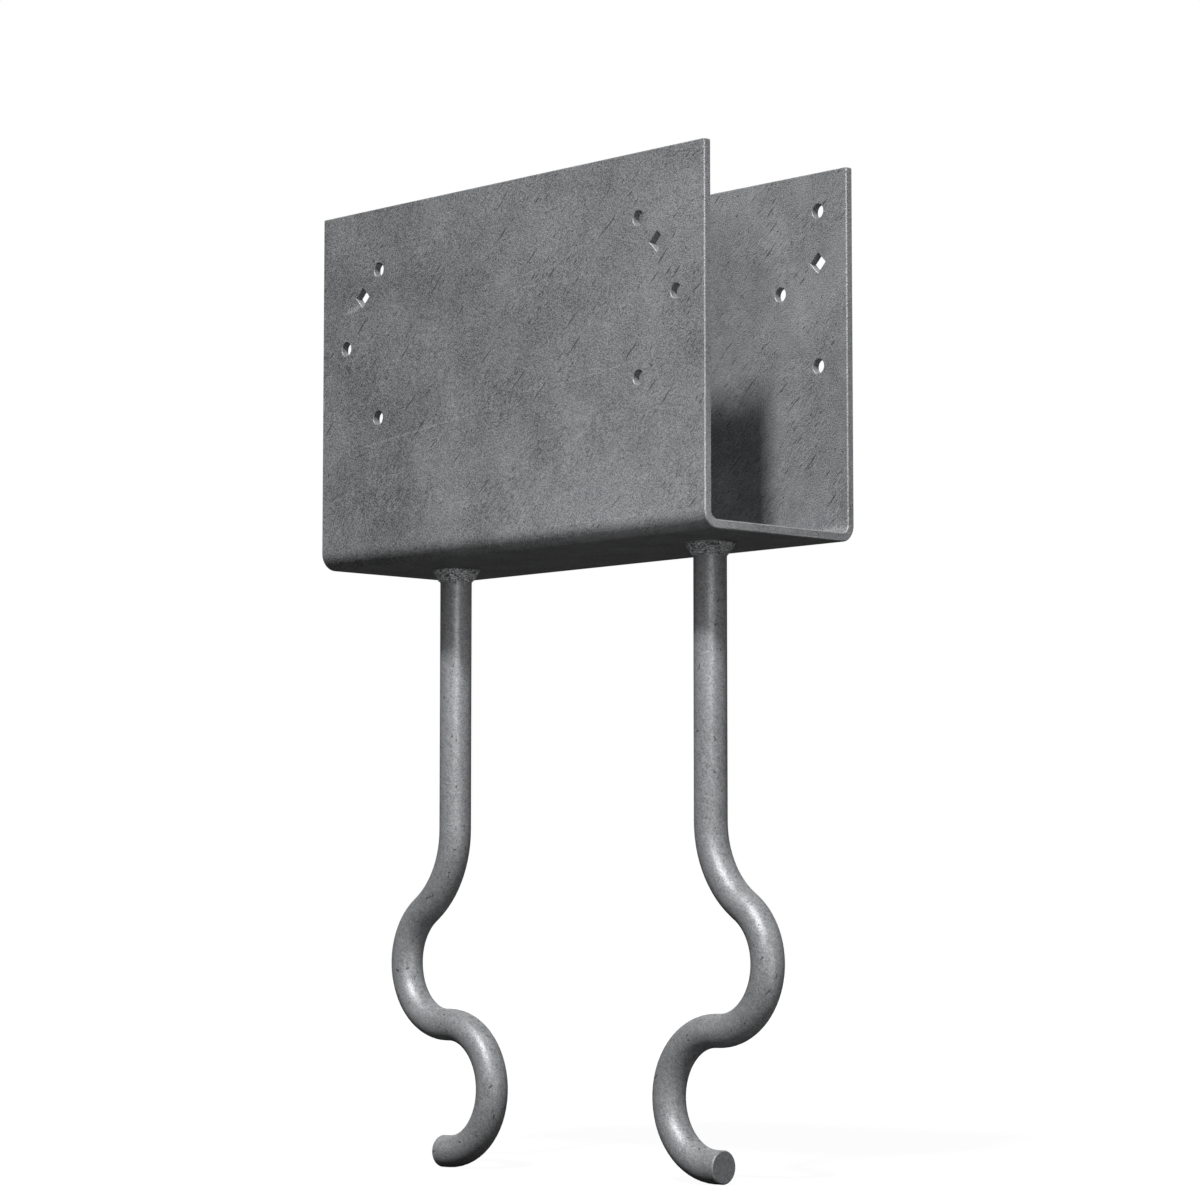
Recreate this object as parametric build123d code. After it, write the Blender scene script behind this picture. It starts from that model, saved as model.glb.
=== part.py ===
from build123d import *
import os

# Column cap for a timber beam on a concrete column: a steel plate folded into a U-shaped saddle,
# welded on top of two bent round rods that are cast into the concrete.
# Millimetres, +Z up, the beam runs along X. The origin is the middle of the saddle's underside,
# the plane that sits on the concrete. The near flange is at -Y and the left rod at -X.

# Saddle plate, before its holes
saddle_length = 279.4  # along the beam, 11 in
saddle_height = 182.6  # underside to the top of the flanges, 7 3/16 in
beam_gap = 92.5  # clear width between the flanges, for a beam 3 1/2 in wide
plate_thickness = 4.35
fold_radius = 4.1  # inside of each fold
edge_bevel = 0.5  # on every sheared edge, softened by the zinc

# Holes, on a square grid that starts at both ends of each flange's top edge
hole_margin = 19.05  # first column from the end, and first row from the top
hole_step = 12.7
screw_hole_diameter = 7.14  # 9/32 in
square_hole_side = 7.14  # turned 45 degrees
hole_rim_bevel = 0.25

# Each hole is (column, row), counted inwards from the end and downwards from the top
near_screw_holes = [(2, 1), (0, 4), (2, 7)]
near_square_holes = [(1, 2)]
far_screw_holes = [(0, 0), (2, 3), (0, 6)]
far_square_holes = [(0, 2)]

# Anchor rods: each lies in the saddle's middle plane, swings outwards, then folds back and out again
rod_diameter = 16.2  # 5/8 in bar under its zinc
rod_inset = 47.35  # from each end of the saddle to the rod's centre line
shank_length = 133.35  # straight run below the saddle, 5 1/4 in
outward_turn = 56.0  # degrees
outward_bend_radius = 48.1  # to the rod's centre line, like the two below
slant_length = 2.6
fold_back_radius = 31.7
throat_length = 2.3
hook_radius = 32.0
tip_length = 5.0
rod_end_bevel = 0.6

# Fillet weld between each rod and the underside
weld_plate_leg = 4.3
weld_rod_leg = 6.4

saddle_width = beam_gap + 2 * plate_thickness
rod_x = saddle_length / 2 - rod_inset
rod_radius = rod_diameter / 2


def grid_places(holes):
    """Places of mirrored holes on a flange, as X and the height above the underside."""
    places = []
    for column, row in holes:
        x = saddle_length / 2 - hole_margin - column * hole_step
        z = saddle_height - hole_margin - row * hole_step
        places += [(-x, z), (x, z)]
    return places


def pierce_flange(near_side, screw_holes, square_holes):
    """Cut one flange's holes, straight through its thickness from the side towards -Y."""
    with BuildSketch(near_side) as holes:
        with Locations(*grid_places(screw_holes)):
            Circle(screw_hole_diameter / 2)
        with Locations(*grid_places(square_holes)):
            Rectangle(square_hole_side, square_hole_side, rotation=45)
    extrude(holes.sketch, amount=-plate_thickness, mode=Mode.SUBTRACT)


def fold_line(width, floor, radius):
    """One side of the folded plate in its section: down one flange, across, and up the other."""
    return FilletPolyline(
        (-width / 2, saddle_height),
        (-width / 2, floor),
        (width / 2, floor),
        (width / 2, saddle_height),
        radius=radius,
    )


def make_saddle():
    """Plate folded into a U along X and pierced, with its sheared edges and hole rims bevelled."""
    with BuildPart() as saddle:
        with BuildSketch(Plane.YZ):
            with BuildLine():
                outside = fold_line(saddle_width, 0, fold_radius + plate_thickness)
                inside = fold_line(beam_gap, plate_thickness, fold_radius)
                Line(outside @ 0, inside @ 0)
                Line(outside @ 1, inside @ 1)
            make_face()
        extrude(amount=saddle_length / 2, both=True)
        sheared = saddle.faces().filter_by(Axis.X).edges()
        sheared += saddle.faces().filter_by(Axis.Z).group_by(Axis.Z)[-1].edges()
        chamfer(ShapeList(set(sheared)), edge_bevel)

        pierce_flange(Plane.XZ.offset(saddle_width / 2), near_screw_holes, near_square_holes)
        pierce_flange(Plane.XZ.offset(-beam_gap / 2), far_screw_holes, far_square_holes)
        flange_sides = saddle.faces().filter_by(Axis.Y)
        rims = [edge for side in flange_sides for wire in side.inner_wires() for edge in wire.edges()]
        chamfer(rims, hole_rim_bevel)
    return saddle.part


def make_rod():
    """Right-hand rod: a round bar swept along straight runs joined by tangent bends."""
    fold_back_turn = outward_turn + 90  # until the rod runs level, towards the other rod
    with BuildPart() as rod:
        with BuildLine(Plane.XZ) as route:
            shank = Line((0, 0), (0, -shank_length))
            swing = JernArc(shank @ 1, shank % 1, outward_bend_radius, outward_turn)
            slant = Line(swing @ 1, swing @ 1 + slant_length * (swing % 1))
            fold_back = JernArc(slant @ 1, slant % 1, fold_back_radius, -fold_back_turn)
            throat = Line(fold_back @ 1, fold_back @ 1 + throat_length * (fold_back % 1))
            hook = JernArc(throat @ 1, throat % 1, hook_radius, 180)
            Line(hook @ 1, hook @ 1 + tip_length * (hook % 1))
        with BuildSketch(Plane.XY):
            Circle(rod_radius)
        sweep(path=route.line)
        tip = rod.faces().filter_by(Axis.X)
        chamfer(tip.edges(), rod_end_bevel)
    return Pos(rod_x, 0, 0) * rod.part


def make_weld():
    """Right-hand weld: a bead right round the rod, in the corner under the underside."""
    root = Vector(rod_radius, 0)
    toe_on_plate = Vector(rod_radius + weld_plate_leg, 0)
    toe_on_rod = Vector(rod_radius, -weld_rod_leg)
    with BuildPart() as weld:
        with BuildSketch(Plane.XZ):
            with BuildLine():
                Polyline(root, toe_on_plate, toe_on_rod, close=True)
            make_face()
        revolve(axis=Axis.Z)
    return Pos(rod_x, 0, 0) * weld.part


right_rod = make_rod()
right_weld = make_weld()
nodes = {
    "saddle": make_saddle(),
    "anchor_rod_right": right_rod,
    "anchor_rod_left": mirror(right_rod, about=Plane.YZ),
    "weld_bead_right": right_weld,
    "weld_bead_left": mirror(right_weld, about=Plane.YZ),
}

os.makedirs("parts", exist_ok=True)
for name, solid in nodes.items():
    export_step(solid, f"parts/{name}.step")
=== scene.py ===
import math
import bmesh
import bpy
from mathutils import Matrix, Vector, noise


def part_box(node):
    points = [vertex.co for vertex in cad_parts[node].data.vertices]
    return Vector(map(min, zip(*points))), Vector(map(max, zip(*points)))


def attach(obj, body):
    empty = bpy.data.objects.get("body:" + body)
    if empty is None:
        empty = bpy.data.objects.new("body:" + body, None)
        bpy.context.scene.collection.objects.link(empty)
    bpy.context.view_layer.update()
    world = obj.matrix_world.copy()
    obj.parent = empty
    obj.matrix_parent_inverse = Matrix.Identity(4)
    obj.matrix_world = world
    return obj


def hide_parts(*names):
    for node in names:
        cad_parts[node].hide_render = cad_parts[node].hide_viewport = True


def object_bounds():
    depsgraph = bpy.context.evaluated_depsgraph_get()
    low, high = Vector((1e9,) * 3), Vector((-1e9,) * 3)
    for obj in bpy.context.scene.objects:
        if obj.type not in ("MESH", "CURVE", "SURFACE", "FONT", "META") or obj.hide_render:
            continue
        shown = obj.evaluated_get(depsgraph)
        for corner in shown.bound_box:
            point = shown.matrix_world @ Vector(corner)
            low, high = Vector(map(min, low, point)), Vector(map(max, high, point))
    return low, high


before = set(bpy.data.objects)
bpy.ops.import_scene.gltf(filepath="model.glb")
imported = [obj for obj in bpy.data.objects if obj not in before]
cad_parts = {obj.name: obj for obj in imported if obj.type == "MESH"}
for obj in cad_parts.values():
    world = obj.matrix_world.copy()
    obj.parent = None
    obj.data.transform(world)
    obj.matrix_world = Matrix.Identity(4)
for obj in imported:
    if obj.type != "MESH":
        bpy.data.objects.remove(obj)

# Camera
# A long lens, low down in front of the right-hand corner and tilted up a little, so that the underside
# just shows. Place, angles and lens come from the plate's corners and holes in the photograph.
camera_data = bpy.data.cameras.new("camera")
camera_data.lens = 113.45
camera_data.sensor_width = 36.0
camera = bpy.data.objects.new("camera", camera_data)
camera.location = (1.3670, -1.2786, -0.1918)
camera.rotation_euler = (math.radians(95.2006), 0, math.radians(46.5875))
bpy.context.collection.objects.link(camera)
bpy.context.scene.camera = camera
bpy.context.scene.view_settings.view_transform = "Standard"

# Floor and surroundings
# A plain pale floor under the hooks, and white all round it. The camera sees both as white. The metal sees
# them dimmed, because the photographed metal shows almost none of them. What they scatter on to the part is
# a soft light that comes from above.
MM = 0.001
SKY_TOP = 0.60
SKY_LEVEL = 0.075
SKY_BELOW = 0.03
SKY_IN_METAL = 0.22
FLOOR_IN_METAL = 0.02
FLOOR_NEAR_PART = 0.955  # just short of white, so that the shadow shows, and white further out
SHADOW_REACH = (0.5, 3.0)
FLOOR_GAP = 0.3 * MM


def linear(hex_colour):
    """An sRGB hex colour such as "7a7b7d" as linear RGBA."""
    parts = [int(hex_colour[i:i + 2], 16) / 255 for i in (0, 2, 4)]
    return [p / 12.92 if p <= 0.04045 else ((p + 0.055) / 1.055) ** 2.4 for p in parts] + [1.0]


def node(tree, kind, inputs=None, **settings):
    """Add a node. Inputs go by socket name or number, to a value, an output, or a node's first output."""
    made = tree.nodes.new("ShaderNode" + kind)
    for name, value in settings.items():
        setattr(made, name, value)
    for socket, value in (inputs or {}).items():
        if isinstance(value, bpy.types.Node):
            value = value.outputs[0]
        if isinstance(value, bpy.types.NodeSocket):
            tree.links.new(value, made.inputs[socket])
        else:
            made.inputs[socket].default_value = value
    return made


cad_box = [list(corner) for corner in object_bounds()]

world = bpy.data.worlds.new("white_surround")
bpy.context.scene.world = world
world.use_nodes = True
tree = world.node_tree
tree.nodes.clear()
rays = node(tree, "LightPath").outputs
clear = node(tree, "Math", {0: rays["Is Camera Ray"], 1: rays["Is Transmission Ray"]}, operation="MAXIMUM")
up = node(tree, "SeparateXYZ", {0: node(tree, "TexCoord").outputs["Generated"]}).outputs["Z"]
below = node(tree, "MapRange", {0: up, 1: -0.1, 2: 0.0, 3: SKY_BELOW, 4: SKY_LEVEL})
above = node(tree, "MapRange", {0: up, 1: 0.0, 2: 1.0, 3: 0.0, 4: SKY_TOP - SKY_LEVEL})
sky = node(tree, "Math", {0: below, 1: above}, operation="ADD")
dimmed = node(tree, "Mix", {0: rays["Is Glossy Ray"], 2: sky, 3: SKY_IN_METAL}, data_type="FLOAT")
strength = node(tree, "Math", {0: clear, 1: dimmed}, operation="MAXIMUM")
background = node(tree, "Background", {"Color": linear("ffffff"), "Strength": strength})
node(tree, "OutputWorld", {"Surface": background})

floor_finish = bpy.data.materials.new("matt_floor")
floor_finish.use_nodes = True
tree = floor_finish.node_tree
tree.nodes.clear()
matt = node(tree, "BsdfDiffuse", {"Color": linear("343434"), "Roughness": 1.0})
spot = node(tree, "TexCoord").outputs["Object"]
away = node(tree, "VectorMath", {0: spot}, operation="LENGTH").outputs["Value"]
white = node(tree, "MapRange", {0: away, 1: SHADOW_REACH[0], 2: SHADOW_REACH[1], 3: FLOOR_NEAR_PART, 4: 1.0})
rays = node(tree, "LightPath").outputs
clear = node(tree, "Math", {0: rays["Is Camera Ray"], 1: rays["Is Transmission Ray"]}, operation="MAXIMUM")
lit = node(tree, "Math", {0: clear, 1: white}, operation="MULTIPLY")
seen = node(tree, "Math", {0: rays["Is Glossy Ray"], 1: FLOOR_IN_METAL, 2: lit}, operation="MULTIPLY_ADD")
glow = node(tree, "Emission", {"Color": linear("ffffff"), "Strength": seen})
node(tree, "OutputMaterial", {"Surface": node(tree, "AddShader", {0: matt, 1: glow})})

mesh = bmesh.new()
bmesh.ops.create_grid(mesh, x_segments=1, y_segments=1, size=8.0)
bmesh.ops.translate(mesh, verts=mesh.verts, vec=(0, 0, cad_box[0][2] - FLOOR_GAP))
floor_mesh = bpy.data.meshes.new("floor")
mesh.to_mesh(floor_mesh)
mesh.free()
floor_mesh.materials.append(floor_finish)
floor = bpy.data.objects.new("floor", floor_mesh)
bpy.context.collection.objects.link(floor)

# Lamps
# A soft key light high up at the front throws the near flange's shadow on the far one and the saddle's on the
# rods. Two weak low ones with narrow beams reach the welds, draw a line down each rod and fill the bends. A
# back light shows the far sides, and has no gloss, which would put bright rims on the hooks.


def softbox(name, aim, azimuth, elevation, distance, width, height, power, beam=180.0):
    """A lamp aimed at a point of the part. Azimuth runs from -Y towards +X, all angles in degrees."""
    lamp = bpy.data.lights.new(name, "AREA")
    lamp.shape = "RECTANGLE"
    lamp.size = width
    lamp.size_y = height
    lamp.energy = power
    lamp.spread = math.radians(beam)
    light = bpy.data.objects.new(name, lamp)
    level = math.cos(math.radians(elevation))
    away = Vector((math.sin(math.radians(azimuth)) * level, -math.cos(math.radians(azimuth)) * level,
                   math.sin(math.radians(elevation))))
    light.location = Vector(aim) + away * distance
    light.rotation_euler = away.to_track_quat("Z", "Y").to_euler()
    light.visible_camera = False
    bpy.context.collection.objects.link(light)
    return light


softbox("key_light", aim=(0, 0, 0), azimuth=30.0, elevation=44.8, distance=12.0,
        width=0.90, height=1.25, power=1990.0)
softbox("low_light", aim=(-0.01, 0, -0.045), azimuth=54.0, elevation=1.5, distance=1.6,
        width=0.08, height=0.08, power=0.032, beam=7.0)
softbox("bend_light", aim=(0, 0, -0.20), azimuth=76.0, elevation=0.5, distance=1.6,
        width=0.50, height=0.06, power=0.060, beam=9.0)
back_light = softbox("back_light", aim=(0, 0, 0), azimuth=226.0, elevation=38.0, distance=12.0,
                     width=1.2, height=1.2, power=2000.0)
back_light.visible_glossy = False

# Saddle
# One plate of sheet steel, punched and folded cold into a U and then dipped in molten zinc. The zinc has
# gone dull: a fine grain, soft darker clouds, and short scratches from handling.


def cloud(tree, place, size, detail=2.0, rough=0.5):
    """Noise round 0, mostly within 1 of it, with features of the given size in mm."""
    made = node(tree, "TexNoise", {"Vector": place, "Scale": 1 / (size * MM), "Detail": detail,
                                   "Roughness": rough})
    return node(tree, "Math", {0: made, 1: 5.0, 2: -2.5}, operation="MULTIPLY_ADD")


def streaks(tree, place, slope, length, width):
    """Noise round 0 that is drawn out along a slope in degrees, rising to the right. Sizes in mm."""
    laid = node(tree, "Mapping", {"Vector": place, "Rotation": (0, -math.radians(slope), 0),
                                  "Scale": (length * MM, length * MM, width * MM)}, vector_type="TEXTURE")
    made = node(tree, "TexNoise", {"Vector": laid, "Scale": 1.0, "Detail": 1.0})
    return node(tree, "Math", {0: made, 1: 5.0, 2: -2.5}, operation="MULTIPLY_ADD")


def marks(tree, place, slope, length, width, fill, share, shift=0.0):
    """Separate marks, 1 in the middle of each. A mark takes the fill of its cell, and only a share have one."""
    cell = [size / fill * MM for size in (length, width, width)]
    laid = node(tree, "Mapping", {"Vector": place, "Location": [shift] * 3, "Scale": cell,
                                  "Rotation": (0, -math.radians(slope), 0)}, vector_type="TEXTURE")
    cells = node(tree, "TexVoronoi", {"Vector": laid, "Scale": 1.0}).outputs
    near = node(tree, "MapRange", {0: cells["Distance"], 1: 0.25 * fill, 2: 0.5 * fill, 3: 1.0, 4: 0.0})
    draw = node(tree, "SeparateColor", {0: cells["Color"]})
    taken = node(tree, "Math", {0: draw, 1: share}, operation="LESS_THAN")
    return node(tree, "Math", {0: near, 1: taken}, operation="MULTIPLY")


def wavered(tree, place, size, reach):
    """The place moved about by up to the reach, with swings of the given size, both in mm."""
    push = node(tree, "TexNoise", {"Vector": place, "Scale": 1 / (size * MM), "Detail": 1.0}).outputs["Color"]
    swing = node(tree, "VectorMath", {0: push, 1: (0.5, 0.5, 0.5)}, operation="SUBTRACT")
    return node(tree, "VectorMath", {0: swing, 1: [4 * reach * MM] * 3, 2: place}, operation="MULTIPLY_ADD")


def rub(tree, place, x, z, slope, length, width):
    """One soft mark on the near flange's outer side, 1 in its middle. Places and sizes in mm."""
    depth = 4 * MM
    laid = node(tree, "Mapping", {"Vector": place, "Location": (x * MM, cad_box[0][1], z * MM),
                                  "Rotation": (0, -math.radians(slope), 0),
                                  "Scale": (length / 2 * MM, depth, width / 2 * MM)}, vector_type="TEXTURE")
    out = node(tree, "VectorMath", {0: laid}, operation="LENGTH").outputs["Value"]
    return node(tree, "MapRange", {0: out, 1: 0.3, 2: 1.0, 3: 1.0, 4: 0.0})


def layered(tree, base, *layers):
    """The base plus each layer times its weight."""
    for value, weight in layers:
        base = node(tree, "Math", {0: value, 1: weight, 2: base}, operation="MULTIPLY_ADD")
    return base


def faces_end(tree):
    """How squarely the surface faces along X, towards either end of the part: 1 on a sheared end."""
    normal = node(tree, "VectorMath", {0: node(tree, "TexCoord").outputs["Normal"]}, operation="ABSOLUTE")
    return node(tree, "SeparateXYZ", {0: normal}).outputs["X"]


def start_metal(name, metallic, roughness):
    """A material with a Principled BSDF on its output, and the place on the object in metres."""
    made = bpy.data.materials.new(name)
    made.use_nodes = True
    tree = made.node_tree
    tree.nodes.clear()
    metal = node(tree, "BsdfPrincipled", {"Metallic": metallic, "Roughness": roughness})
    node(tree, "OutputMaterial", {"Surface": metal})
    return made, tree, metal, node(tree, "TexCoord").outputs["Object"]


# Hot-dip galvanised sheet that has gone dull: mid-grey with little gloss. Its colour carries painted shade
# towards its left end and painted light towards its right end. The zinc's grain is drawn at 0.7 mm, coarser
# than the real one, so that it shows.
plate_zinc, tree, metal, place = start_metal("dull_galvanised_sheet", metallic=0.42, roughness=0.56)
along = node(tree, "SeparateXYZ", {0: place}).outputs
grain = cloud(tree, place, size=0.7, detail=1.0, rough=0.65)
bent = wavered(tree, place, size=12, reach=0.6)
handled = node(tree, "MapRange", {0: cloud(tree, place, size=20), 1: -0.30, 2: 0.60})

# Scratches lie in patches where the sheet was handled, and rise to the right
hatching = streaks(tree, bent, slope=40, length=3.0, width=0.7)
hatched = node(tree, "MapRange", {0: handled, 3: 0.25, 4: 1.0})
hatching = node(tree, "Math", {0: hatching, 1: hatched}, operation="MULTIPLY")
ticks = marks(tree, bent, slope=40, length=5.5, width=0.7, fill=0.42, share=0.9)
ticked = node(tree, "MapRange", {0: handled, 1: 0.0, 2: 0.5})
pressed = node(tree, "MapRange", {0: cloud(tree, place, size=5), 1: -0.8, 2: 0.8, 3: 0.1, 4: 1.1})
ticked = node(tree, "Math", {0: ticked, 1: pressed}, operation="MULTIPLY")
ticks = node(tree, "Math", {0: ticks, 1: ticked}, operation="MULTIPLY")
nicks = marks(tree, bent, slope=55, length=2.5, width=0.7, fill=0.4, share=0.25, shift=0.7)
nicks = node(tree, "Math", {0: nicks, 1: 0.7}, operation="MULTIPLY")
lines = marks(tree, bent, slope=43, length=16, width=0.85, fill=0.3, share=0.5, shift=0.3)
broken = node(tree, "MapRange", {0: grain, 1: -0.8, 2: 0.0, 3: 0.3, 4: 1.0})
lines = node(tree, "Math", {0: lines, 1: broken}, operation="MULTIPLY")
scratches = node(tree, "Math", {0: ticks, 1: lines}, operation="MAXIMUM")
scratches = node(tree, "Math", {0: scratches, 1: nicks}, operation="MAXIMUM")
pits = marks(tree, place, slope=0, length=1.1, width=1.1, fill=0.3, share=0.09, shift=0.4)

# Pale smears low down, and three pale rubs on the near flange
smears = node(tree, "MapRange", {0: streaks(tree, place, slope=66, length=8, width=3.0), 1: 0.3, 2: 0.9})
low_down = node(tree, "MapRange", {0: along["Z"], 1: 110 * MM, 2: 50 * MM})
smears = node(tree, "Math", {0: smears, 1: low_down}, operation="MULTIPLY")
rubs = layered(tree, 0.0,
               (rub(tree, place, x=-114.4, z=133.0, slope=17, length=18, width=4.0), 1.3),
               (rub(tree, place, x=-65, z=65, slope=5.9, length=152, width=1.6), 0.65),
               (rub(tree, place, x=58, z=79, slope=5.9, length=90, width=1.3), 0.5))
worn = node(tree, "MapRange", {0: grain, 1: -1.0, 2: 0.6})
rubs = node(tree, "Math", {0: rubs, 1: worn}, operation="MULTIPLY")

# Painted shade and light: the sheet's colour is darker towards its left end and paler towards its right end.
painted_shade_and_light_across = node(tree, "MapRange", {0: along["X"], 1: -140 * MM, 2: 140 * MM, 3: -0.12, 4: 0.13})
tone = layered(tree, 0.5,
               (painted_shade_and_light_across, 1.0), (cloud(tree, place, size=30, detail=4.0), 0.14),
               (cloud(tree, bent, size=10, rough=0.6), 0.06), (cloud(tree, place, size=3, rough=0.6), 0.05),
               (grain, 0.36), (hatching, 0.18), (smears, 0.10), (scratches, -0.75), (pits, -0.8), (rubs, 0.7))
colour = node(tree, "Mix", {0: tone, 6: linear("535456"), 7: linear("a9aaac")},
              data_type="RGBA", clamp_factor=True).outputs[2]

# Painted light: whatever faces along X (the bevels, the sheared ends and parts of the hole walls) is painted
# paler, a painted highlight along the bevels
end = faces_end(tree)
painted_bevel_highlight = node(tree, "MapRange", {0: end, 1: 0.40, 2: 0.50, 3: 0.0, 4: 0.24})
flat = node(tree, "MapRange", {0: end, 1: 0.90, 2: 0.96, 3: 1.0, 4: 0.8})
painted_edge_light = node(tree, "Math", {0: painted_bevel_highlight, 1: flat}, operation="MULTIPLY")
colour = node(tree, "Mix", {0: painted_edge_light, 6: colour, 7: linear("cfd0d2")}, data_type="RGBA").outputs[2]
tree.links.new(colour, metal.inputs["Base Color"])
height = layered(tree, 0.0, (grain, 0.5), (hatching, 0.3), (scratches, -1.5), (pits, -2.0))
relief = node(tree, "Bump", {"Height": height, "Distance": 0.10 * MM, "Strength": 1.0})
tree.links.new(relief.outputs[0], metal.inputs["Normal"])
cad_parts["saddle"].material_slots[0].material = plate_zinc

# Anchor rods
# Two lengths of round steel bar, bent cold round a former, welded on and dipped with the saddle. The zinc
# lies smoother on the bar than on the sheet, so it is lighter and catches the light in soft streaks.

# Hot-dip galvanised bar with a satin finish: it shines softly on its bends and has small dark pits. The grain
# is drawn at 0.8 mm, coarser than the real one, so that it shows.
rod_zinc, tree, metal, place = start_metal("satin_galvanised_bar", metallic=0.42, roughness=0.50)
grain = cloud(tree, place, size=0.8, rough=0.6)
bent = wavered(tree, place, size=4, reach=1.2)
pits = layered(tree, 0.0,
               (marks(tree, bent, slope=50, length=4.5, width=1.2, fill=0.32, share=0.4), 1.0),
               (marks(tree, bent, slope=-30, length=2.0, width=1.5, fill=0.28, share=0.35, shift=0.5), 1.0))
tone = layered(tree, 0.48,
               (cloud(tree, place, size=14, detail=4.0, rough=0.6), 0.05),
               (cloud(tree, place, size=4, detail=3.0, rough=0.6), 0.06), (grain, 0.26),
               (streaks(tree, bent, slope=-50, length=3.0, width=0.9), 0.10), (pits, -1.0))
colour = node(tree, "Mix", {0: tone, 6: linear("5c5d5f"), 7: linear("afb0b2")},
              data_type="RGBA", clamp_factor=True).outputs[2]

# The cut end of each hook is a little darker
end = node(tree, "MapRange", {0: faces_end(tree), 1: 0.98, 2: 0.995})
height = node(tree, "SeparateXYZ", {0: place}).outputs["Z"]
hook_end = node(tree, "MapRange", {0: height, 1: -285 * MM, 2: -287 * MM, 4: 0.35})
cut_end = node(tree, "Math", {0: end, 1: hook_end}, operation="MULTIPLY")
colour = node(tree, "Mix", {0: cut_end, 6: colour, 7: linear("5f6063")}, data_type="RGBA").outputs[2]
tree.links.new(colour, metal.inputs["Base Color"])
metal.inputs["Specular IOR Level"].default_value = 0.15
metal.inputs["Specular Tint"].default_value = linear("303030")
relief = node(tree, "Bump", {"Height": layered(tree, 0.0, (grain, 0.5), (pits, -2.0)),
                             "Distance": 0.02 * MM, "Strength": 1.0})
tree.links.new(relief.outputs[0], metal.inputs["Normal"])
for name in ("anchor_rod_left", "anchor_rod_right"):
    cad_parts[name].material_slots[0].material = rod_zinc

# Weld beads
# A fillet of weld metal laid by hand right round each rod, up against the underside. It cooled in fine
# crinkled ripples, and the zinc over them is rough and matt.
ROD_RADIUS = 8.1 * MM
RIPPLE = 0.55 * MM
CREST_STEP = 1.4  # mm from one crest to the next
CREST_WANDER = 1.3  # how far a crest wanders up and down, in steps
THIN = 0.01 * MM

# Galvanised weld metal, matt. Its colour is a painted highlight along the crests of its ripples and painted
# shade between them.
weld_zinc, tree, metal, place = start_metal("matt_galvanised_weld", metallic=0.35, roughness=0.6)
painted_ripple_light_and_shade = node(tree, "Attribute", attribute_name="painted_ripple_light_and_shade").outputs["Fac"]
tone = layered(tree, 0.0, (painted_ripple_light_and_shade, 0.9), (cloud(tree, place, size=0.8, rough=0.6), 0.2))
colour = node(tree, "Mix", {0: tone, 6: linear("545557"), 7: linear("d4d5d7")},
              data_type="RGBA", clamp_factor=True).outputs[2]
tree.links.new(colour, metal.inputs["Base Color"])

for name in ("weld_bead_left", "weld_bead_right"):
    low, high = [Vector(corner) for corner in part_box(name)]
    axis_x = (low.x + high.x) / 2
    toe = (high.x - low.x) / 2
    plate_leg = toe - ROD_RADIUS
    mesh = bmesh.new()
    corners = ((ROD_RADIUS, 0, 0), (toe, 0, 0), (ROD_RADIUS, 0, low.z))
    root, plate_toe, rod_toe = [mesh.verts.new(corner) for corner in corners]
    sides = [mesh.edges.new(pair) for pair in ((root, plate_toe), (plate_toe, rod_toe), (rod_toe, root))]
    bmesh.ops.subdivide_edges(mesh, edges=[sides[1]], cuts=26)
    bmesh.ops.subdivide_edges(mesh, edges=[sides[0], sides[2]], cuts=2)
    bmesh.ops.spin(mesh, geom=mesh.verts[:] + mesh.edges[:], axis=(0, 0, 1), cent=(0, 0, 0), steps=260,
                   angle=2 * math.pi, use_merge=True)
    bmesh.ops.remove_doubles(mesh, verts=mesh.verts, dist=0.001 * MM)
    bmesh.ops.recalc_face_normals(mesh, faces=mesh.faces)

    # Only the open face is rippled, less so towards its two toes
    out = Vector((-low.z, 0, -plate_leg)).normalized()
    painted_ripple_shade_layer = mesh.verts.layers.float.new("painted_ripple_light_and_shade")
    for vert in mesh.verts:
        radius = math.hypot(vert.co.x, vert.co.y)
        along = vert.co.z / low.z
        if abs((radius - ROD_RADIUS) - plate_leg * (1 - along)) >= THIN:
            continue
        at = Vector((vert.co.x + axis_x, vert.co.y, vert.co.z)) / MM
        drift = noise.noise(Vector((at.x / 2.0, at.y / 2.0, at.z / 1.2)))
        crest = math.sin(2 * math.pi * (at.z / CREST_STEP + CREST_WANDER * drift))
        lump = noise.noise(at / 4.0)
        taper = min(1.0, 5 * along + 0.3, 5 * (1 - along) + 0.3)
        # Painted light and shade: each crest is painted pale and each valley between crests dark.
        vert[painted_ripple_shade_layer] = 0.5 + 0.5 * crest
        outward = Vector((vert.co.x / radius * out.x, vert.co.y / radius * out.x, out.z))
        vert.co += outward * RIPPLE * taper * (0.6 * crest + 0.6 * lump)
        vert.co.z = min(vert.co.z, -2 * THIN)
    bmesh.ops.translate(mesh, verts=mesh.verts, vec=(axis_x, 0, 0))
    for face in mesh.faces:
        face.smooth = True
    bead_mesh = bpy.data.meshes.new(name + "_rippled")
    mesh.to_mesh(bead_mesh)
    mesh.free()
    bead_mesh.materials.append(weld_zinc)
    bead = bpy.data.objects.new(name + "_rippled", bead_mesh)
    bpy.context.collection.objects.link(bead)
    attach(bead, "root")
    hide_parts(name)
